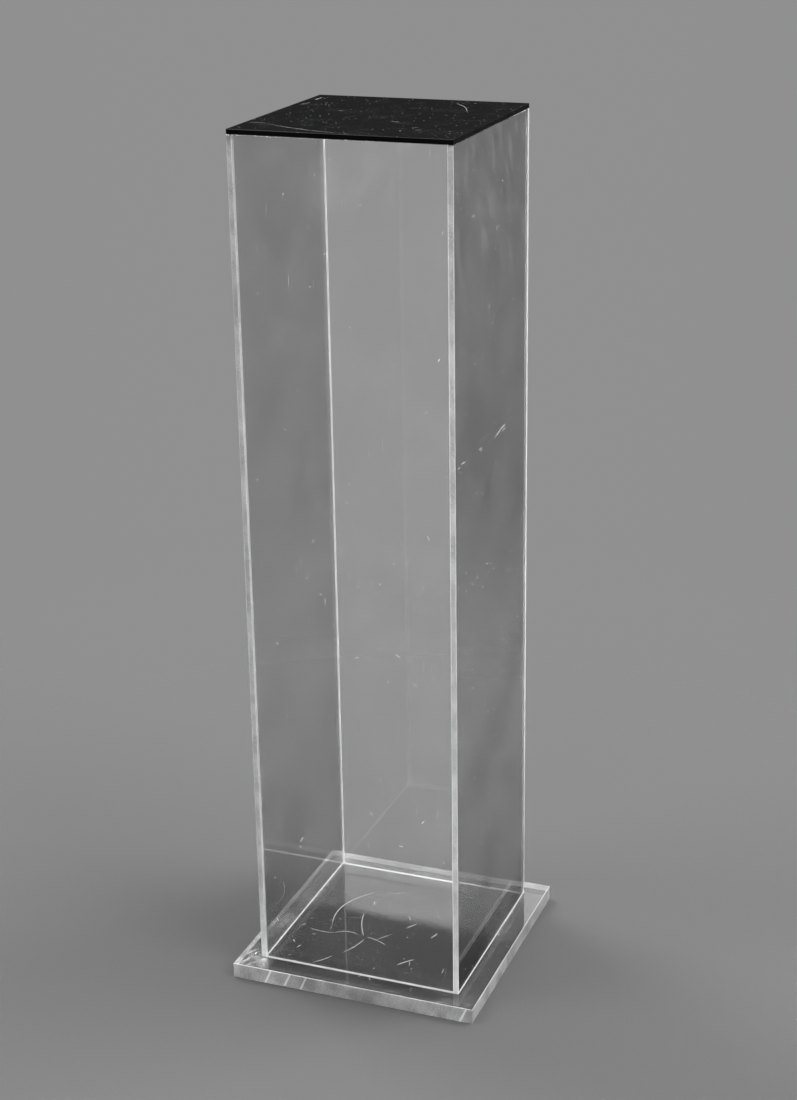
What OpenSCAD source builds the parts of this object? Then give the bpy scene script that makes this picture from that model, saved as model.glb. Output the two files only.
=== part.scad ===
// Acrylic display case: a clear, square, upright column with a black top on a clear base plate.
// Four walls and the top are cemented into one cover, which stands on the base and lifts off it.
// Origin at the centre of the base plate's underside, +Z up, front towards -Y, right towards +X.

/* [Cover] */
// Outside width and depth of the square cover
cover_w = 253; // [150:1:500]
// Height of the walls, from the base plate to the top sheet
wall_h = 992; // [200:1:1600]
// Thickness of the clear wall sheets
wall_t = 6; // [3:0.5:15]
// Thickness of the black top sheet
top_t = 5.5; // [3:0.5:15]

/* [Base] */
// How far the base plate stands out past the cover on every side
base_margin = 26; // [5:0.5:80]
// Thickness of the clear base plate
base_t = 18.5; // [6:0.5:40]

/* [Edges and joints] */
// Width of the broken edge on every sheet
arris = 0.4; // [0.1:0.1:1]
// Thickness of the cured cement in a glued joint
cement_t = 0.15; // [0.05:0.05:0.5]

/* [Hidden] */
base_w = cover_w + 2 * base_margin;
inset_w = cover_w - 2 * (wall_t + cement_t);
wall_low = base_t;
wall_top = wall_low + wall_h;
wall_mid = wall_low + wall_h / 2;
wall_centre = (cover_w - wall_t) / 2;
SIDES = [-1, 1];

// Rectangle x by y about the origin, with an arris cut off each corner
module cut_rectangle(x, y) {
    polygon([
        [x / 2 - arris, -y / 2],
        [x / 2, arris - y / 2],
        [x / 2, y / 2 - arris],
        [x / 2 - arris, y / 2],
        [arris - x / 2, y / 2],
        [-x / 2, y / 2 - arris],
        [-x / 2, arris - y / 2],
        [arris - x / 2, -y / 2],
    ]);
}

// Sawn sheet x by y by z about the origin, with all twelve edges broken
module sheet(x, y, z) {
    intersection() {
        linear_extrude(z, center = true) cut_rectangle(x, y);
        rotate([90, 0, 0]) linear_extrude(y, center = true) cut_rectangle(x, z);
        rotate([90, 0, 90]) linear_extrude(x, center = true) cut_rectangle(y, z);
    }
}

module base_plate() {
    color("gainsboro", 0.5)
        translate([0, 0, base_t / 2])
            sheet(base_w, base_w, base_t);
}

// A left or right wall: these two run the full depth and show their sawn edges at the front and back
module side_wall(side) {
    color("lightsteelblue", 0.5)
        translate([side * wall_centre, 0, wall_mid])
            sheet(wall_t, cover_w, wall_h);
}

module left_panel() {
    side_wall(-1);
}

module right_panel() {
    side_wall(1);
}

// A front or back wall: these two stand between the side walls
module inset_wall(side) {
    color("aliceblue", 0.5)
        translate([0, side * wall_centre, wall_mid])
            sheet(inset_w, wall_t, wall_h);
}

module front_panel() {
    inset_wall(-1);
}

module back_panel() {
    inset_wall(1);
}

// The black top, flush with the walls all round
module top_panel() {
    color("#1a1a1a")
        translate([0, 0, wall_top + cement_t + top_t / 2])
            sheet(cover_w, cover_w, top_t);
}

// Cement between the ends of the inset walls and the faces of the side walls, one strip a corner
module corner_seams() {
    color("whitesmoke", 0.8)
        for (x = SIDES, y = SIDES)
            translate([x * (inset_w + cement_t) / 2, y * wall_centre, wall_mid])
                cube([cement_t, wall_t - 2 * arris, wall_h - 2 * arris], center = true);
}

// Cement between the wall tops and the top sheet, a ring as wide as the walls' flat top edges
module top_seam() {
    color("whitesmoke", 0.8)
        translate([0, 0, wall_top])
            linear_extrude(cement_t)
                difference() {
                    square(cover_w - 2 * arris, center = true);
                    square(cover_w - 2 * (wall_t - arris), center = true);
                }
}

base_plate();
left_panel();
right_panel();
front_panel();
back_panel();
top_panel();
corner_seams();
top_seam();
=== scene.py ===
"""Looks for the acrylic display case: six sawn sheets and their cement, a studio and a camera."""
import math
import random

import bmesh
import bpy
from mathutils import Matrix, Vector, noise
from mathutils.geometry import delaunay_2d_cdt


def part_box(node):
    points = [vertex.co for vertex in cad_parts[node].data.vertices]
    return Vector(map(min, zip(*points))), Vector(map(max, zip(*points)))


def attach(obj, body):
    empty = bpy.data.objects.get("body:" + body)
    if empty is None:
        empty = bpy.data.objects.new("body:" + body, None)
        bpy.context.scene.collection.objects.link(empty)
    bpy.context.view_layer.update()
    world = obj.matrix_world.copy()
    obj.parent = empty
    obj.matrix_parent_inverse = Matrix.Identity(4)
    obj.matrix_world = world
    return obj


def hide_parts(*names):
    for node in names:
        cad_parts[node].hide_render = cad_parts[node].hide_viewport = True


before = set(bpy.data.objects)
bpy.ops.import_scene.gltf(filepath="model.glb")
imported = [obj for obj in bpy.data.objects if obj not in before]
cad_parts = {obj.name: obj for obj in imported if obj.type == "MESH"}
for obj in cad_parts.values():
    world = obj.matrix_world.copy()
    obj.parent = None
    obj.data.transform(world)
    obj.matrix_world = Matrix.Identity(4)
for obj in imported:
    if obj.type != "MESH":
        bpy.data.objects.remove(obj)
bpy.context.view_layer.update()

MM = 0.001
X, Y, Z = Vector((1, 0, 0)), Vector((0, 1, 0)), Vector((0, 0, 1))

PLATE_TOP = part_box("base_plate")[1].z       # height the walls stand at
COVER_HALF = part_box("right_panel")[1].x     # half the width of the cover

# Material slots of a sheet
POLISHED, SAWN, BROKEN, SCRATCHED, FOOT = range(5)

# Sides of a sheet seen with u to the right and v up, and the way each runs, counter-clockwise
BELOW, RIGHT, ABOVE, LEFT = range(4)
WAYS = {BELOW: (1, 0), RIGHT: (0, 1), ABOVE: (-1, 0), LEFT: (0, -1)}

# Meshes
MEETING = 1e-6              # metres within which two points are one
COLLAPSED = 1e-7            # length of an edge too short to keep

# Edges
ARRIS = 0.4 * MM            # width of the broken edge
ROW = 1.0 * MM              # distance between two rows of points on a sawn edge
BESIDE_ARRIS = 0.4          # share of the saw marks left beside an arris
STOP_DEPTH = 0.22 * MM      # groove that the blade leaves where the feed paused
STOP_WIDTH = 0.9 * MM       # half the width of that groove

# Chips out of the arrises
CHIP_SIZE = (0.8, 2.2)      # least and greatest half length, in millimetres
CHIP_DEPTH = 0.35           # depth as a share of half length
CHIP_SPREAD = 0.6           # share of that depth which reaches the sawn side of the arris
CHIP_CLEAR = 3 * MM         # distance kept from a sheet's corners

# Scratches
SCRATCH_DEPTH = 0.15 * MM
SCRATCH_STEP = 2 * MM       # distance between two points along one
SCRATCH_WANDER = 0.3 * MM   # how far it strays from its line
WANDER_TURNS = 150          # times it strays in each metre
WIDTH_TURNS = 400           # times its width changes in each metre
NICK_LENGTH = (2, 7)        # least and greatest, in millimetres
NICK_WIDTH = (0.25, 0.5)
NICK_REACH = 0.9            # share of the sheet, from its middle, that has nicks

# The cement in the joints
CEMENT_STEP = 4 * MM        # distance between two stations along a bead
CEMENT_BITE = 0.02 * MM     # how far the cement has softened its way into a sheet

# The camera: its place, and how it is turned, in radians, so that the case's corners fall as in the photo
CAMERA_AT = Vector((0.8365, -2.1198, 1.3668))
CAMERA_YAW = 0.3714
CAMERA_PITCH = 0.3576
CAMERA_ROLL = -0.0164
CAMERA_LENS = 68.44

# Deep scratches: start, end, bend at the middle and width, all in millimetres from the sheet's middle
BASE_SCRATCHES = (
    ((-53, 64), (-75, -25), -15, 0.9),
    ((-42, 70), (-15, 79), -3, 0.6),
    ((-46, 45), (-42, 35), 0, 0.5),
    ((-47, 12), (-27, -39), -3, 0.8),
    ((-98, -43), (-66, -44), -2, 0.7),
    ((-65, -44), (-34, -39), 6, 0.8),
    ((-90, -57), (-85, -53), 0, 0.5),
    ((-24, -46), (-37, -82), 2, 0.9),
    ((-46, -94), (-63, -116), 1, 0.9),
    ((-23, -40), (6, -50), 2, 0.8),
    ((-10, -42), (4, -23), 0, 0.6),
    ((8, 25), (15, 14), 0, 0.6),
    ((15, -5), (25, 11), 0, 0.9),
    ((52, -16), (56, -2), -1, 1.0),
    ((35, -88), (51, -69), 1, 1.3),
    ((47, -75), (50, -86), 0, 0.6),
    ((-107, -74), (-102, -80), 0, 0.8),
    ((-95, -91), (-92, -83), 0, 0.8),
    ((90, -76), (92, -88), 1, 0.6),
    ((93, -10), (104, -5), 0, 0.5),
)
TOP_SCRATCHES = (
    ((-121, -80), (-101, -82), 2, 0.8),
    ((-100, -82), (3, -120), -6, 0.7),
    ((23, -36), (35, -36), 0, 1.0),
    ((48, 104), (79, 51), 4, 0.7),
    ((-118, 50), (-113, 66), 0, 0.8),
    ((-116, 88), (-115, 108), 0, 0.8),
    ((-60, 20), (-52, 22), 0, 0.6),
    ((60, -70), (66, -64), 0, 0.6),
)
RIGHT_WALL_SCRATCHES = (
    ((-119, 150), (-110, 150), 0, 0.4),
    ((-108, 152), (-94, 151), 0, 0.5),
    ((-50, 150), (-38, 151), 0, 0.45),
    ((-44, 147), (-36, 148), 0, 0.3),
    ((8, 149), (26, 151), 0, 0.5),
    ((22, 152), (44, 153), 0, 0.45),
    ((30, 148), (46, 149), 0, 0.35),
)
FRONT_WALL_SCRATCHES = (
    ((108, 269), (110, 273), 0, 1.2),
    ((83, -279), (86, -275), 0, 1.0),
    ((-70, -330), (-66, -322), 0, 0.6),
)


# ---------------------------------------------------------------- sheets


class Sheet:
    """The flat sheet that fills a CAD node's box. u and v lie in the sheet and n points through it."""

    def __init__(self, node, u, v, finish=None):
        low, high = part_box(node)
        size = high - low
        self.centre = (low + high) / 2
        self.u, self.v, self.n = u, v, u.cross(v)
        self.half_u, self.half_v, self.half_n = (abs(size.dot(a)) / 2 for a in (self.u, self.v, self.n))
        self.finish = finish or {}    # the slot of each side that is not plainly sawn

    def reach(self, side):
        """Half the length of a side, and its distance from the middle."""
        return (self.half_u, self.half_v) if side in (BELOW, ABOVE) else (self.half_v, self.half_u)

    def place(self, u, v, n):
        """The point in the frame for a point of the sheet."""
        return self.centre + self.u * u + self.v * v + self.n * n


class Saw:
    """How a sheet was sawn: marks pitch apart and depth deep, in millimetres, leaning along the edge."""

    SIDE_SEED = 7.3         # keeps the noise of a sheet's sides apart
    BITE_RUN = 9            # pitches over which the blade bites more or less deeply
    CHATTER_RUN = 1.5       # pitches over which it chatters
    CHATTER_ACROSS = 60     # turns of the chatter in each metre across the edge

    def __init__(self, pitch, depth, lean, seed, stops=()):
        self.pitch, self.depth, self.lean = pitch * MM, depth * MM, lean
        self.seed = seed
        self.stops = [(side, along * MM) for side, along in stops]

    def cut(self, side, along, across):
        """Depth of the marks at a point of a sawn edge."""
        seed = self.seed + self.SIDE_SEED * side
        slant = along - self.lean * across
        turns = slant / self.pitch
        ridge = 0.5 + 0.5 * math.sin(2 * math.pi * turns)
        bite = 0.55 + 0.45 * noise.noise((turns / self.BITE_RUN, seed, 0))
        chatter = 0.5 + 0.9 * noise.noise((turns / self.CHATTER_RUN, across * self.CHATTER_ACROSS, seed))
        return self.depth * max(0.0, bite * (0.4 * ridge + 0.8 * chatter)) + self.stop(side, slant)

    def stop(self, side, slant):
        """Depth of the grooves the blade leaves where the feed paused."""
        near = ((slant - at) / STOP_WIDTH for at_side, at in self.stops if at_side == side)
        return sum(STOP_DEPTH * math.exp(-(away**2)) for away in near)


def outline(sheet, step):
    """Points round the sheet, counter-clockwise seen from +n: (u, v, inward direction, side, along)."""
    points = []
    for side, way in WAYS.items():
        run, reach = sheet.reach(side)
        run -= ARRIS
        inward = (-way[1], way[0])
        count = max(2, round(2 * run / step))
        for i in range(count + 1):
            along = run * (2 * i / count - 1)
            u = way[0] * along - inward[0] * reach
            v = way[1] * along - inward[1] * reach
            points.append((u, v, inward, side, along))
    return points


def chips_of(sheet, seed, count):
    """Small chips knocked out of a sheet's arrises, clear of its corners: (side, face, along, size)."""
    draw = random.Random(seed)
    chips = []
    for _ in range(count):
        side = draw.randrange(4)
        run = sheet.reach(side)[0] - CHIP_CLEAR
        chips.append((side, draw.choice((-1, 1)), draw.uniform(-run, run), draw.uniform(*CHIP_SIZE) * MM))
    return chips


def chipped(chips, side, face, along):
    """How much of the arris a chip has taken at a point along it."""
    gone = 0
    for at_side, at_face, at, size in chips:
        if at_side == side and at_face == face and abs(along - at) < size:
            gone = max(gone, CHIP_DEPTH * size * (1 - ((along - at) / size) ** 2))
    return gone


def edge_levels(sheet):
    """Levels from face to face: (n, nearer face, inset, share of saw marks, share of chips)."""
    flat = sheet.half_n - ARRIS
    rows = max(2, round(2 * flat / ROW))
    return [
        (-sheet.half_n, -1, ARRIS, 0, 1),
        (-flat, -1, 0, BESIDE_ARRIS, CHIP_SPREAD),
        *((flat * (2 * row / rows - 1), 1, 0, 1, 0) for row in range(1, rows)),
        (flat, 1, 0, BESIDE_ARRIS, CHIP_SPREAD),
        (sheet.half_n, 1, ARRIS, 0, 1),
    ]


def edge_ring(points, level, saw, chips):
    """The outline at one level, drawn in by arris, saw and chips: (u, v, n, depth of the saw's cut)."""
    n, face, inset, sawn, broken = level
    ring = []
    for u, v, inward, side, along in points:
        cut = sawn * saw.cut(side, along, n)
        gone = inset + cut + broken * chipped(chips, side, face, along)
        ring.append((u + inward[0] * gone, v + inward[1] * gone, n, cut))
    return ring


def edge_faces(sheet, points, rings):
    """The faces from each ring to the next, and their slots."""
    count, last = len(points), len(rings) - 2
    faces, slots = [], []
    for k in range(last + 1):
        plain = BROKEN if k in (0, last) else SAWN
        for i in range(count):
            j = (i + 1) % count
            faces.append((k * count + i, k * count + j, (k + 1) * count + j, (k + 1) * count + i))
            slots.append(sheet.finish.get(points[i][3], plain))
    return faces, slots


def nicks(sheet, seed, count):
    """Small straight scratches scattered over a face: (start, end, bend, width) in millimetres."""
    draw = random.Random(seed)
    made = []
    for _ in range(count):
        u = draw.uniform(-NICK_REACH, NICK_REACH) * sheet.half_u / MM
        v = draw.uniform(-NICK_REACH, NICK_REACH) * sheet.half_v / MM
        turn = draw.uniform(0, math.pi)
        length = draw.uniform(*NICK_LENGTH)
        end = (u + length * math.cos(turn), v + length * math.sin(turn))
        made.append(((u, v), end, 0, draw.uniform(*NICK_WIDTH)))
    return made


def scratch_lines(scratch):
    """A scratch's centre line and its two sides: points in the sheet, pointed at both ends."""
    start, end, bend, width = scratch
    start, end = Vector(start) * MM, Vector(end) * MM
    way = end - start
    aside = Vector((-way.y, way.x)).normalized()
    count = max(6, round(way.length / SCRATCH_STEP))
    centre, left, right = [], [], []
    for i in range(count + 1):
        t = i / count
        belly = 4 * t * (1 - t)    # 0 at the ends, 1 at the middle
        middle = start + way * t + aside * (bend * MM * belly)
        wander = SCRATCH_WANDER * noise.noise((*middle * WANDER_TURNS, 3))
        uneven = 0.75 + 0.5 * noise.noise((*middle * WIDTH_TURNS, 9))
        half = width * MM / 2 * belly**0.4 * uneven
        centre.append(middle + aside * wander)
        left.append(middle + aside * (wander + half))
        right.append(middle + aside * (wander - half))
    return centre, left[1:-1], right[1:-1]


def face_triangles(ring, scratches):
    """Triangles that fill a face's outline, with each scratch cut in: (points, depths, triangles)."""
    points = [Vector((u, v)) for u, v, _, _ in ring]
    edges = [(i, (i + 1) % len(ring)) for i in range(len(ring))]
    deep = set()
    for scratch in scratches:
        centre, left, right = scratch_lines(scratch)
        first = len(points)
        points += centre
        middle = list(range(first, first + len(centre)))
        deep.update(middle[1:-1])
        edges += zip(middle, middle[1:])
        for side in (left, right):
            first = len(points)
            points += side
            chain = [middle[0], *range(first, first + len(side)), middle[-1]]
            edges += zip(chain, chain[1:])
    fill_inside, same_point = 1, 1e-9
    made, _, triangles, sources, _, _ = delaunay_2d_cdt(points, edges, [], fill_inside, same_point)
    depths = [SCRATCH_DEPTH if any(i in deep for i in source) else 0.0 for source in sources]
    return made, depths, triangles


def sheet_mesh(name, sheet, step, saw, chips, scratches=()):
    """The sheet as one closed mesh: two polished faces, broken and sawn edges, and cut scratches."""
    points = outline(sheet, step)
    rings = [edge_ring(points, level, saw, chips) for level in edge_levels(sheet)]
    vertices = [sheet.place(u, v, n) for ring in rings for u, v, n, _ in ring]
    cuts = [cut / saw.depth for ring in rings for _, _, _, cut in ring]
    faces, slots = edge_faces(sheet, points, rings)
    for ring, side, cut_in in ((rings[0], -1, ()), (rings[-1], 1, scratches)):
        made, depths, triangles = face_triangles(ring, cut_in)
        first = len(vertices)
        vertices += [sheet.place(p.x, p.y, side * (sheet.half_n - depth)) for p, depth in zip(made, depths)]
        cuts += [0.0] * len(made)
        for a, b, c in triangles:
            corners = (a, b, c) if side > 0 else (a, c, b)
            faces.append(tuple(first + i for i in corners))
            slots.append(SCRATCHED if any(depths[i] > 0 for i in corners) else POLISHED)
    return closed_mesh(name, vertices, faces, slots, cuts)


def closed_mesh(name, vertices, faces, slots=None, cuts=None):
    """A mesh from points and faces, with meeting points joined. cuts is each one's share of a saw mark."""
    mesh = bpy.data.meshes.new(name)
    mesh.from_pydata(vertices, [], faces)
    if slots:
        mesh.polygons.foreach_set("material_index", slots)
    if cuts:
        mesh.attributes.new("cut", "FLOAT", "POINT").data.foreach_set("value", cuts)
    bm = bmesh.new()
    bm.from_mesh(mesh)
    bmesh.ops.remove_doubles(bm, verts=bm.verts, dist=MEETING)
    bmesh.ops.dissolve_degenerate(bm, edges=bm.edges, dist=COLLAPSED)
    bm.to_mesh(mesh)
    bm.free()
    return mesh


def piece(mesh, materials, node, body):
    """Shows a mesh in place of a CAD node."""
    made = bpy.data.objects.new(mesh.name, mesh)
    bpy.context.scene.collection.objects.link(made)
    for material in materials:
        mesh.materials.append(material)
    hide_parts(node)
    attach(made, body)


# ---------------------------------------------------------------- cement


def ragged(along, seed):
    """How far short of a joint's edge the cement stops."""
    broad = 0.2 * noise.noise((along * 60, seed, 0))
    fine = 0.15 * noise.noise((along * 300, seed, 5))
    return MM * (0.25 + broad + fine)


def tube(stations, closed):
    """Faces of a four-sided tube through stations of four corners each, capped unless it is closed."""
    count = len(stations)
    faces = []
    for k in range(count if closed else count - 1):
        a, b = 4 * k, 4 * ((k + 1) % count)
        for i in range(4):
            j = (i + 1) % 4
            faces.append((a + i, a + j, b + j, b + i))
    if not closed:
        last = 4 * (count - 1)
        faces += [(3, 2, 1, 0), (last, last + 1, last + 2, last + 3)]
    return faces


def upright_bead(inset, wall, seed):
    """Stations up the bead between an inset wall's sawn end, which it bites deeper, and a side wall."""
    low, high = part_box(inset)
    wall_low, wall_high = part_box(wall)
    if wall == "right_panel":
        side, end, face = 1, high.x, wall_low.x
    else:
        side, end, face = -1, low.x, wall_high.x
    end -= side * 2 * CEMENT_BITE
    face += side * CEMENT_BITE
    count = round((high.z - low.z) / CEMENT_STEP)
    stations = []
    for i in range(count + 1):
        z = low.z + (high.z - low.z) * i / count
        y0 = low.y + ragged(z, 10 * seed)
        y1 = high.y - ragged(z, 10 * seed + 5)
        corners = [(end, y0, z), (face, y0, z), (face, y1, z), (end, y1, z)]
        stations.append(corners[::side])
    return stations


def corner_cement(name):
    """The four upright beads between the inset walls and the side walls."""
    insets, walls = ("front_panel", "back_panel"), ("left_panel", "right_panel")
    joints = [(inset, wall) for inset in insets for wall in walls]
    vertices, faces = [], []
    for seed, (inset, wall) in enumerate(joints):
        stations = upright_bead(inset, wall, seed)
        first = len(vertices)
        vertices += [p for corners in stations for p in corners]
        faces += [tuple(first + i for i in face) for face in tube(stations, closed=False)]
    return closed_mesh(name, vertices, faces)


def top_cement(name):
    """The bead that runs round the walls under the top sheet."""
    low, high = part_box("top_seam")
    wall_low, wall_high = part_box("right_panel")
    half_wall = (wall_high.x - wall_low.x) / 2
    run = high.x - half_wall
    z0, z1 = low.z - CEMENT_BITE, high.z + CEMENT_BITE
    count = round(2 * run / CEMENT_STEP)
    stations = []
    for way in WAYS.values():
        for i in range(count):
            along = run * (2 * i / count - 1)
            side_noise = along + 3 * way[0] + 7 * way[1]
            corners = []
            for reach, z in ((-1, z0), (1, z0), (1, z1), (-1, z1)):
                off = reach * (half_wall - ragged(side_noise, reach))
                start = along - off if i == 0 else along    # the first station lies on the mitre
                x = way[0] * start + way[1] * (run + off)
                y = way[1] * start - way[0] * (run + off)
                corners.append((x, y, z))
            stations.append(corners)
    vertices = [p for corners in stations for p in corners]
    return closed_mesh(name, vertices, tube(stations, closed=True))


# ---------------------------------------------------------------- materials


ACRYLIC = 1.49              # index of refraction
WALL_SHADE_TONE = 0.34           # tone of the painted shade on the walls
PLATE_SHADE_TONE = 0.12          # tone of the painted shade on the base plate
SHADE_HEIGHT = 0.55         # metres above the floor where the walls' painted shade is palest
HANDS = (0.72, 0.96)        # heights where finger smears start and are full


def grey(level):
    return (level, level, level, 1)


class Graph:
    """Adds nodes to a node tree. An input is a number, a colour, a socket, or None to leave it."""

    def __init__(self, tree):
        self.tree = tree
        tree.nodes.clear()

    def add(self, kind, *inputs, out=0, **settings):
        """A new node's output, or the node itself if it has none."""
        node = self.tree.nodes.new(kind)
        for key, value in settings.items():
            setattr(node, key, value)
        for socket, value in zip(node.inputs, inputs):
            self.feed(socket, value)
        return node.outputs[out] if node.outputs else node

    def feed(self, socket, value):
        if isinstance(value, bpy.types.NodeSocket):
            self.tree.links.new(value, socket)
        elif value is not None:
            socket.default_value = value

    def math(self, operation, a, b=None, c=None):
        return self.add("ShaderNodeMath", a, b, c, operation=operation)

    def fold(self, operation, values):
        """One operation over several values."""
        total, *rest = values
        for value in rest:
            total = self.math(operation, total, value)
        return total

    def times(self, *values):
        return self.fold("MULTIPLY", values)

    def plus(self, *values):
        return self.fold("ADD", values)

    def most(self, *values):
        return self.fold("MAXIMUM", values)

    def ramp(self, value, low, high, start=0.0, end=1.0, smooth=True):
        """From start, where the value is low, to end, where it is high."""
        kind = "SMOOTHSTEP" if smooth else "LINEAR"
        return self.add("ShaderNodeMapRange", value, low, high, start, end, interpolation_type=kind)

    def between(self, value, start, end):
        """From start to end as a value goes from 0 to 1."""
        return self.ramp(value, 0.0, 1.0, start, end)

    def shade(self, factor, dark, light):
        """A colour between two others. A number stands for a grey."""
        dark, light = (grey(tone) if isinstance(tone, float) else tone for tone in (dark, light))
        unused = [None] * 5
        return self.add("ShaderNodeMix", factor, *unused, dark, light, data_type="RGBA", out=2)

    def axis(self, place, index):
        """The x, y or z of a place."""
        return self.add("ShaderNodeSeparateXYZ", place, out=index)


class Look(Graph):
    """A new material's graph, with its Principled shader. Sizes are in metres on the piece."""

    def __init__(self, name, **values):
        self.material = bpy.data.materials.new(name)
        self.material.use_nodes = True
        super().__init__(self.material.node_tree)
        self.shader = self.add("ShaderNodeBsdfPrincipled").node
        self.output = self.add("ShaderNodeOutputMaterial", self.shader.outputs[0])
        self.place = self.add("ShaderNodeTexCoord", out=3)
        self.set(**values)

    def set(self, **values):
        """Feeds the shader's inputs. A name's spaces are written as underscores."""
        for key, value in values.items():
            self.feed(self.shader.inputs[key.replace("_", " ")], value)

    def mix(self, share, other):
        """Shows a share of another shader in place of the Principled one."""
        mixed = self.add("ShaderNodeMixShader", share, self.shader.outputs[0], other)
        self.feed(self.output.inputs[0], mixed)

    def noise(self, size, detail=2.0):
        """Soft noise from 0 to 1, whose lumps are about size across."""
        return self.add("ShaderNodeTexNoise", self.place, None, 1 / size, detail)

    def streaks(self, turn, lengths, detail=2.0):
        """Noise whose lumps have these lengths along axes turned this way."""
        drawn = self.add("ShaderNodeMapping", self.place, None, turn, lengths, vector_type="TEXTURE")
        return self.add("ShaderNodeTexNoise", drawn, None, 1.0, detail)

    def hairs(self, turn, lengths, low, high):
        """Fine straight scratches along the turned first axis."""
        return self.ramp(self.streaks(turn, lengths, detail=0.0), low, high)

    def specks(self, size, share, low, high):
        """Round specks in a share of cells size across: whole within low of a cell, gone at high."""
        cells = self.add("ShaderNodeTexVoronoi", self.place, None, 1 / size).node
        kept = self.math("LESS_THAN", self.add("ShaderNodeSeparateColor", cells.outputs[1]), share)
        return self.times(self.ramp(cells.outputs[0], low, high, 1.0, 0.0), kept)

    def swirls(self, size, gap, low, high):
        """Broken arcs gap apart, as a dirty cloth leaves."""
        away = self.add("ShaderNodeTexVoronoi", self.place, None, 1 / size, feature="SMOOTH_F1")
        rings = self.math("FRACT", self.math("MULTIPLY", away, size / gap))
        line = self.ramp(self.math("ABSOLUTE", self.math("SUBTRACT", rings, 0.5)), 0.0, 0.1, 1.0, 0.0)
        return self.times(line, self.ramp(self.noise(size / 3), low, high))

    def bump(self, strength, depth, height):
        return self.add("ShaderNodeBump", strength, depth, None, height)


def upright_hairs(look):
    """Wipe marks on a wall: mostly upright, a few slanted."""
    upright = look.hairs((0.0, math.pi / 2 + 0.05, 0.0), (30 * MM, 0.7 * MM, 0.7 * MM), low=0.83, high=0.88)
    slanted = look.hairs((0.7, 0.4, 0.8), (20 * MM, 0.8 * MM, 0.8 * MM), low=0.85, high=0.90)
    return look.most(upright, slanted)


def flat_hairs(look):
    """Scratches on a level face, in three directions."""
    turns, lengths = (0.25, 1.15, 2.2), (22 * MM, 0.8 * MM, 20 * MM)
    return look.most(*(look.hairs((0.0, 0.0, turn), lengths, low=0.82, high=0.88) for turn in turns))


def fine_marks(look, hairs):
    """Dust of two sizes, and hairline scratches."""
    dust = look.most(
        look.specks(9 * MM, share=0.06, low=0.04, high=0.08),
        look.specks(30 * MM, share=0.12, low=0.012, high=0.025),
    )
    return look.most(look.times(dust, 0.7), look.times(hairs, 0.5))


def dulled(look, haze):
    """Haze, with patches of twice as much."""
    return look.ramp(look.noise(50 * MM), 0.4, 0.75, haze, 2 * haze)


def slant_shade(look):
    """A patchy painted shade that darkens a face where it is seen at a slant."""
    slant = look.add("ShaderNodeLayerWeight", 0.5, out=1)
    patchy = look.ramp(look.noise(120 * MM), 0.35, 0.7, 0.8, 1.0)
    return look.times(look.ramp(slant, 0.10, 0.75), patchy)


def finger_smears(look, height):
    """Smears where hands lift the cover, drawn out by the fingers."""
    turn = (0.25, 0.0, 0.0)
    strokes = look.ramp(look.streaks(turn, (30 * MM, 18 * MM, 50 * MM), detail=3.0), 0.53, 0.68)
    ridges = look.ramp(look.streaks(turn, (1 * MM, 1 * MM, 30 * MM)), 0.3, 0.7)
    return look.times(strokes, look.ramp(height, *HANDS), look.between(ridges, 0.5, 1.0))


def clear_acrylic(look, marks, haze, painted_shade, shade_tone):
    """Polished clear acrylic, made pale and dull by its marks and haze, and darkened by painted shade where
    it is seen at a slant.
    """
    still_clear = look.math("SUBTRACT", look.math("SUBTRACT", 0.995, haze), look.times(marks, 0.55))
    look.set(
        # painted shade: the colour goes towards the shade tone where the slant mask is strong
        Base_Color=look.shade(marks, look.shade(painted_shade, 0.98, shade_tone), 0.9),
        Roughness=look.math("MULTIPLY_ADD", marks, 0.5, look.times(haze, 0.6)),
        Transmission_Weight=still_clear,
        Normal=look.bump(0.05, 0.5 * MM, look.noise(90 * MM, detail=1.0)),
    )
    return look.material


def clear_wall(name, smears):
    """A wall: wiped, fingered near the top, with painted shade that deepens towards its foot but spares its
    last 2 mm.
    """
    look = Look(name, IOR=ACRYLIC)
    height = look.axis(look.place, 2)
    marks = fine_marks(look, upright_hairs(look))
    haze = look.math("MULTIPLY_ADD", finger_smears(look, height), smears, dulled(look, 0.009))
    # painted shade where the wall is seen at a slant, left off the last 2 mm above the plate so the foot's
    # sawn edge shines
    painted_shade = look.times(slant_shade(look), look.ramp(height, PLATE_TOP + 2 * MM, PLATE_TOP + 4 * MM))
    # painted shade, darker towards the foot
    shade_tone = look.shade(look.ramp(height, 0.0, SHADE_HEIGHT), 0.15 * WALL_SHADE_TONE, WALL_SHADE_TONE)
    return clear_acrylic(look, marks, haze, painted_shade, shade_tone)


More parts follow.
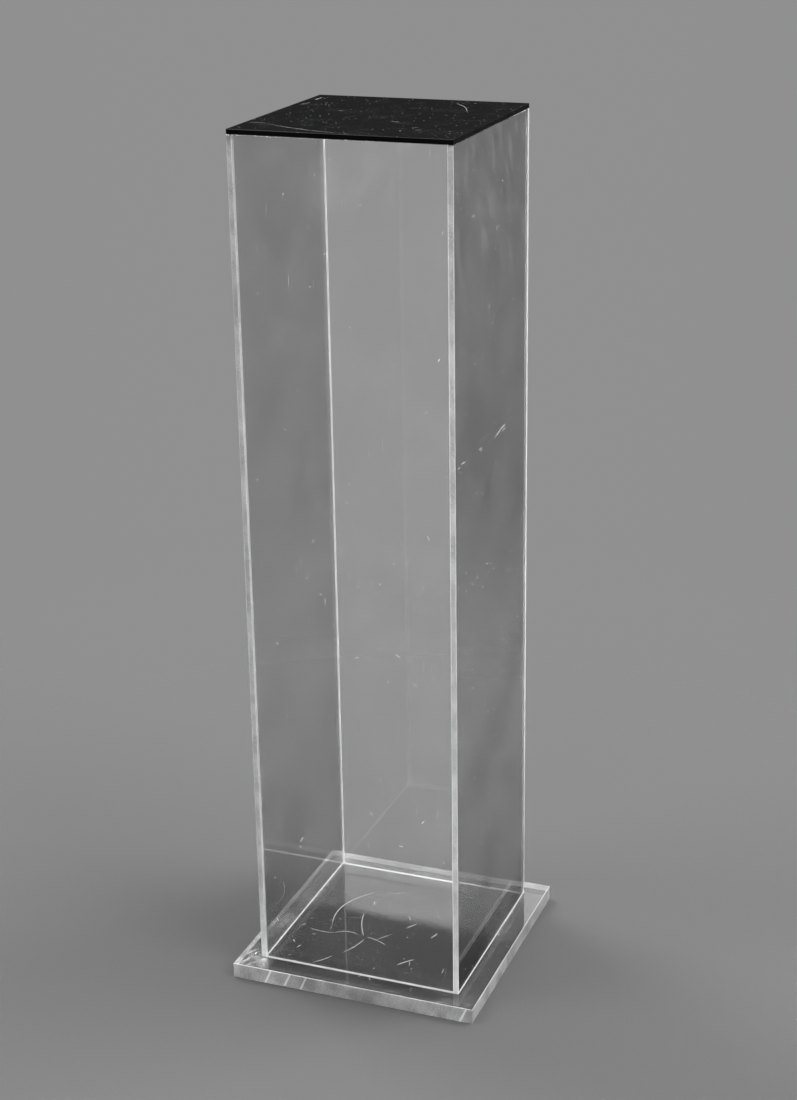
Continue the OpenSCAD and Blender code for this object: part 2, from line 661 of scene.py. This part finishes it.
def clear_plate(name):
    """The base plate: scratched all over, and swirled and scuffed most outside the walls."""
    look = Look(name, IOR=ACRYLIC)
    x, y = (look.axis(look.place, index) for index in (0, 1))
    off_centre = look.most(look.math("ABSOLUTE", x), look.math("ABSOLUTE", y))
    margin = look.ramp(off_centre, COVER_HALF - 6.5 * MM, COVER_HALF + 5.5 * MM)
    arcs = look.swirls(45 * MM, gap=2.2 * MM, low=0.52, high=0.72)
    arcs = look.times(arcs, look.between(margin, 0.25, 1.0), 0.3)
    rubbed = look.ramp(look.streaks((0.0, 0.0, 1.1), (20 * MM, 2 * MM, 20 * MM), detail=3.0), 0.4, 0.7)
    patches = look.ramp(look.noise(30 * MM, detail=1.0), 0.35, 0.65, 0.2, 1.0)
    handled = look.ramp(x, -126 * MM, -110 * MM, 0.40, 0.03)    # most on the left margin
    marks = look.most(fine_marks(look, flat_hairs(look)), arcs)
    haze = look.plus(dulled(look, 0.0015), look.times(rubbed, patches, margin, handled))
    # painted shade where the plate is seen at a slant, darkening the floor seen through it
    return clear_acrylic(look, marks, haze, slant_shade(look), PLATE_SHADE_TONE)


def frosted(name, glow, outside, inside, rough, clear):
    """Sawn or scraped acrylic, whiter in the saw's marks. glow is the share that lights up from behind.

    outside and inside are its dark and light greys, seen from outside and through the sheet: painted light
    and shade, as one sawn face takes other greys by the side it is seen from.
    """
    look = Look(name, IOR=ACRYLIC)
    cut = look.ramp(look.add("ShaderNodeAttribute", out=2, attribute_name="cut"), 0.2, 1.6)
    broad = look.ramp(look.noise(30 * MM, detail=1.0), 0.35, 0.65)
    grain = look.noise(1.2 * MM, detail=3.0)
    tone = look.math("MULTIPLY_ADD", cut, 0.5, look.times(broad, 0.2))
    tone = look.math("MULTIPLY_ADD", look.ramp(grain, 0.3, 0.7), 0.3, tone)
    # painted light and shade: other greys when the face is seen from inside the sheet
    within = look.add("ShaderNodeNewGeometry", out=6)
    colour = look.shade(within, look.shade(tone, *outside), look.shade(tone, *inside))
    look.set(
        Base_Color=colour,
        Roughness=look.between(tone, rough - 0.15, rough + 0.15),
        Transmission_Weight=look.between(tone, clear, clear - 0.3),
        Normal=look.bump(0.3, 0.1 * MM, grain),
    )
    look.mix(glow, look.add("ShaderNodeBsdfTranslucent", colour))
    return look.material


def cement(name, thin_tone, thick_tone):
    """Cured solvent cement: lighter where it has bubbles, darker where it ran thin."""
    look = Look(name, IOR=ACRYLIC, Roughness=0.5)
    thick = look.ramp(look.streaks((0.0, 0.0, 0.0), (2 * MM, 2 * MM, 12 * MM), detail=3.0), 0.35, 0.65)
    tone = look.most(thick, look.specks(2.2 * MM, share=0.5, low=0.2, high=0.35))
    colour = look.shade(tone, thin_tone, thick_tone)
    look.set(Base_Color=colour, Transmission_Weight=look.between(tone, 0.5, 0.2))
    look.mix(0.6, look.add("ShaderNodeBsdfTranslucent", colour))
    return look.material


def black_face(name):
    """Gloss black acrylic with dust, hairline scratches and cloth swirls."""
    look = Look(name, IOR=ACRYLIC)
    dust = look.most(
        look.specks(5 * MM, share=0.35, low=0.07, high=0.13),
        look.specks(17 * MM, share=0.5, low=0.02, high=0.05),
    )
    arcs = look.swirls(50 * MM, gap=3 * MM, low=0.5, high=0.75)
    marks = look.most(dust, look.times(flat_hairs(look), 0.25), look.times(arcs, 0.12))
    smudge = look.ramp(look.noise(35 * MM, detail=3.0), 0.4, 0.7)
    look.set(
        Base_Color=look.shade(marks, 0.003, 0.11),
        Roughness=look.math("MULTIPLY_ADD", marks, 0.4, look.between(smudge, 0.05, 0.11)),
        Normal=look.bump(0.15, 0.5 * MM, look.noise(80 * MM, detail=1.0)),
    )
    return look.material


def black_sawn(name, dark, light, rough):
    """Sawn black acrylic: dull, with the saw's grain."""
    look = Look(name, IOR=ACRYLIC, Specular_IOR_Level=0.06)
    grain = look.noise(0.8 * MM, detail=3.0)
    tone = look.math("MULTIPLY_ADD", grain, 0.6, look.times(look.noise(20 * MM, detail=1.0), 0.4))
    look.set(
        Base_Color=look.shade(look.ramp(tone, 0.35, 0.65), dark, light),
        Roughness=look.ramp(tone, 0.3, 0.7, rough - 0.08, rough + 0.12),
        Normal=look.bump(0.3, 0.1 * MM, grain),
    )
    return look.material


WALL = clear_wall("clear_wall_acrylic", smears=0.025)
HANDLED_WALL = clear_wall("handled_wall_acrylic", smears=0.055)
PLATE = clear_plate("clear_base_acrylic")
SAWN_WALL = frosted(
    "sawn_wall_acrylic", glow=0.5, outside=(0.28, 0.95), inside=(0.9, 1.0), rough=0.5, clear=0.7
)
# painted light: a lighter, less clear copy of the sawn wall edge that makes the walls' feet shine
LIT_SAWN_FOOT = frosted(
    "lit_sawn_foot_acrylic", glow=0.3, outside=(0.7, 1.0), inside=(0.8, 0.95), rough=0.5, clear=0.45
)
SAWN_PLATE = frosted(
    "sawn_base_acrylic", glow=0.5, outside=(0.07, 0.80), inside=(0.18, 0.65), rough=0.5, clear=0.7
)
BROKEN_CLEAR = frosted(
    "broken_clear_acrylic", glow=0.6, outside=(0.8, 1.0), inside=(0.9, 1.0), rough=0.4, clear=0.5
)
SCRATCHED_CLEAR = frosted(
    "scratched_clear_acrylic", glow=0.3, outside=(0.9, 1.0), inside=(0.9, 1.0), rough=0.6, clear=0.3
)
CEMENT = cement("cured_cement", thin_tone=0.6, thick_tone=0.9)
THIN_CEMENT = cement("thin_cement", thin_tone=0.12, thick_tone=0.25)
BLACK = black_face("black_acrylic")
SAWN_BLACK = black_sawn("sawn_black_acrylic", dark=0.0004, light=0.0015, rough=0.3)
SCRATCHED_BLACK = black_sawn("scratched_black_acrylic", dark=0.05, light=0.16, rough=0.5)


# ---------------------------------------------------------------- the case


def build_plate():
    sheet = Sheet("base_plate", X, Y)
    stops = [(BELOW, along) for along in (-107, -82, -61, 141)]
    saw = Saw(pitch=1.8, depth=0.07, lean=0.45, seed=1, stops=stops)
    scratches = (*BASE_SCRATCHES, *nicks(sheet, seed=12, count=45))
    chips = chips_of(sheet, seed=11, count=14)
    mesh = sheet_mesh("sawn_base_plate", sheet, 0.45 * MM, saw, chips, scratches)
    materials = (PLATE, SAWN_PLATE, BROKEN_CLEAR, SCRATCHED_CLEAR)
    piece(mesh, materials, "base_plate", "base")


def build_walls():
    walls = (
        ("left_panel", Y, WALL, ()),
        ("right_panel", Y, HANDLED_WALL, RIGHT_WALL_SCRATCHES),
        ("front_panel", X, WALL, FRONT_WALL_SCRATCHES),
        ("back_panel", X, WALL, ()),
    )
    for seed, (node, u, face, scratches) in enumerate(walls):
        sheet = Sheet(node, u, Z, {ABOVE: POLISHED, BELOW: FOOT})    # cement has turned the top edge clear
        saw = Saw(pitch=3.4, depth=0.05, lean=0.5, seed=20 + seed)
        chips = chips_of(sheet, seed=30 + seed, count=16)
        scratches = (*scratches, *nicks(sheet, seed=50 + seed, count=12))
        mesh = sheet_mesh("sawn_" + node, sheet, 0.9 * MM, saw, chips, scratches)
        # the foot slot takes the painted-light copy of the sawn edge
        materials = (face, SAWN_WALL, BROKEN_CLEAR, SCRATCHED_CLEAR, LIT_SAWN_FOOT)
        piece(mesh, materials, node, "cover")


def build_top():
    sheet = Sheet("top_panel", X, Y)
    saw = Saw(pitch=2.4, depth=0.04, lean=0.5, seed=40)
    chips = chips_of(sheet, seed=41, count=12)
    mesh = sheet_mesh("sawn_top_panel", sheet, 0.7 * MM, saw, chips, TOP_SCRATCHES)
    materials = (BLACK, SAWN_BLACK, SAWN_BLACK, SCRATCHED_BLACK)
    piece(mesh, materials, "top_panel", "cover")


def build_cement():
    piece(corner_cement("corner_cement"), (CEMENT,), "corner_seams", "cover")
    piece(top_cement("top_cement"), (THIN_CEMENT,), "top_seam", "cover")


# ---------------------------------------------------------------- studio


FLOOR_TONES = (0.031, 0.035)    # dark and light of the paper's grain
FLOOR_PLAIN = 0.7           # metres from the case where the floor starts to fade into the backdrop
FLOOR_END = 1.7             # and where it has faded
FLOOR_FADE = 0.97           # share of it that has gone by then
FLOOR_REACH = 60.0          # radius of the disc in metres
BEHIND = 180 + math.degrees(CAMERA_YAW)     # azimuth the camera looks towards
MIRRORED = 180 - math.degrees(CAMERA_YAW)   # azimuth it sees mirrored in the side walls
PANEL_TOP = 32.3            # degrees up to the straight edge of the panel that the base plate mirrors

# Soft boxes, with angles in degrees
SOFT_BOXES = (
    dict(azimuth=118, inner=16, outer=30, low=30, high=64, strength=25.0),
    dict(azimuth=-115, inner=10, outer=18, low=30, high=64, strength=28.0),
    dict(azimuth=-60, inner=10, outer=20, low=30, high=64, strength=15.0),
    dict(azimuth=75, inner=10, outer=20, low=30, high=64, strength=19.0),
    dict(azimuth=0, inner=15, outer=35, low=12, high=50, strength=0.8),
)


def floor():
    """A plain grey paper floor that fades into the backdrop."""
    look = Look("floor_paper", Roughness=0.9, Specular_IOR_Level=0.0)
    look.set(Base_Color=look.shade(look.noise(4 * MM, detail=3.0), *FLOOR_TONES))
    away = look.add("ShaderNodeVectorMath", look.place, operation="LENGTH", out=1)
    gone = look.ramp(away, FLOOR_PLAIN, FLOOR_END, 0.0, FLOOR_FADE)
    look.mix(gone, look.add("ShaderNodeBsdfTransparent"))
    bpy.ops.mesh.primitive_circle_add(vertices=128, radius=FLOOR_REACH, fill_type="NGON")
    disc = bpy.context.object
    disc.name = "floor"
    disc.location.z = -0.2 * MM
    disc.data.materials.append(look.material)


class Sky(Graph):
    """Light by the direction it comes from. Azimuth 0 is in front of the case, 90 degrees on its right."""

    def __init__(self, world):
        world.use_nodes = True
        super().__init__(world.node_tree)
        self.way = self.add("ShaderNodeTexCoord", out=0)
        up = self.axis(self.way, 2)
        self.rise = self.times(self.math("ARCSINE", up), math.degrees(1))
        level = self.add("ShaderNodeVectorMath", self.way, (1, 1, 0), operation="MULTIPLY")
        self.level = self.add("ShaderNodeVectorMath", level, operation="NORMALIZE")

    def along(self, way, aim):
        """How much a direction points along another."""
        return self.add("ShaderNodeVectorMath", way, aim, operation="DOT_PRODUCT", out=1)

    def toward(self, azimuth, inner, outer):
        """1 within inner degrees of an azimuth, 0 beyond outer."""
        a = math.radians(azimuth)
        near = self.along(self.level, (math.sin(a), -math.cos(a), 0))
        return self.ramp(near, math.cos(math.radians(outer)), math.cos(math.radians(inner)))

    def band(self, low, high, soft=10):
        """1 between two heights in degrees, with borders soft degrees wide."""
        above = self.ramp(self.rise, low - soft / 2, low + soft / 2)
        below = self.ramp(self.rise, high - soft / 2, high + soft / 2, 1.0, 0.0)
        return self.times(above, below)

    def below_edge(self, pitch):
        """1 below a straight level edge behind the case, parallel with its rear and pitch degrees up."""
        p = math.radians(pitch)
        over = self.along(self.way, (0, -math.sin(p), math.cos(p)))
        return self.ramp(over, -0.003, 0.003, 1.0, 0.0)

    def box(self, azimuth, inner, outer, low, high, strength):
        """A soft box, inner degrees to each side of its azimuth and fading out to outer."""
        return self.times(self.toward(azimuth, inner, outer), self.band(low, high), strength)

    def flag(self, light, azimuth, inner, outer, low, high, keep):
        """Light with a dark card in front of part of it, which lets a share through."""
        card = self.times(self.toward(azimuth, inner, outer), self.band(low, high, soft=6))
        return self.times(light, self.ramp(card, 0.0, 1.0, 1.0, keep, smooth=False))

    def backdrop(self):
        """A pale backdrop, with dark cards where the side walls mirror it and where the lid does."""
        glow = self.math("MULTIPLY_ADD", self.toward(BEHIND, 0, 30), 0.04, 0.24)
        light = self.times(glow, self.ramp(self.rise, -4, 14, 1.0, 0.6))
        light = self.flag(light, MIRRORED, inner=5.5, outer=9.8, low=-60, high=2, keep=0.2)
        return self.flag(light, BEHIND, inner=5.5, outer=9.5, low=2, high=60, keep=0.03)

    def panel(self):
        """The pale panel that the rear half of the base plate mirrors."""
        width = self.toward(BEHIND, 7, 9)
        return self.times(width, self.ramp(self.rise, 16, 19), self.below_edge(PANEL_TOP), 2.0)

    def overhead(self):
        """A ring of light above the boxes, brighter at the rear, and dark straight above."""
        rear = self.between(self.toward(180, 60, 120), 6.0, 13.0)
        return self.times(self.ramp(self.rise, 38, 50), self.ramp(self.rise, 60, 74, 1.0, 0.08), rear)


def studio():
    """Plain soft light from all round."""
    world = bpy.data.worlds.new("studio")
    bpy.context.scene.world = world
    sky = Sky(world)
    boxes = [sky.box(**box) for box in SOFT_BOXES]
    light = sky.plus(sky.backdrop(), *boxes, sky.panel(), sky.overhead())
    sky.add("ShaderNodeOutputWorld", sky.add("ShaderNodeBackground", grey(1), light))


def camera():
    """The camera, at the photograph's viewing angle."""
    data = bpy.data.cameras.new("camera")
    data.lens = CAMERA_LENS
    eye = bpy.data.objects.new("camera", data)
    bpy.context.scene.collection.objects.link(eye)
    bpy.context.scene.camera = eye
    level = Vector((math.cos(CAMERA_YAW), math.sin(CAMERA_YAW), 0))
    ahead = Z.cross(level)
    forward = ahead * math.cos(CAMERA_PITCH) - Z * math.sin(CAMERA_PITCH)
    rise = level.cross(forward)
    right = level * math.cos(CAMERA_ROLL) + rise * math.sin(CAMERA_ROLL)
    up = rise * math.cos(CAMERA_ROLL) - level * math.sin(CAMERA_ROLL)
    turn = Matrix((right, up, -forward)).transposed().to_4x4()
    eye.matrix_world = Matrix.Translation(CAMERA_AT) @ turn


def light_paths():
    """Enough bounces for light to pass through every sheet and back, and plain display colours."""
    scene = bpy.context.scene
    scene.view_settings.view_transform = "Standard"
    scene.cycles.max_bounces = 24
    scene.cycles.transmission_bounces = 24
    scene.cycles.glossy_bounces = 8


build_plate()
build_walls()
build_top()
build_cement()
floor()
studio()
camera()
light_paths()
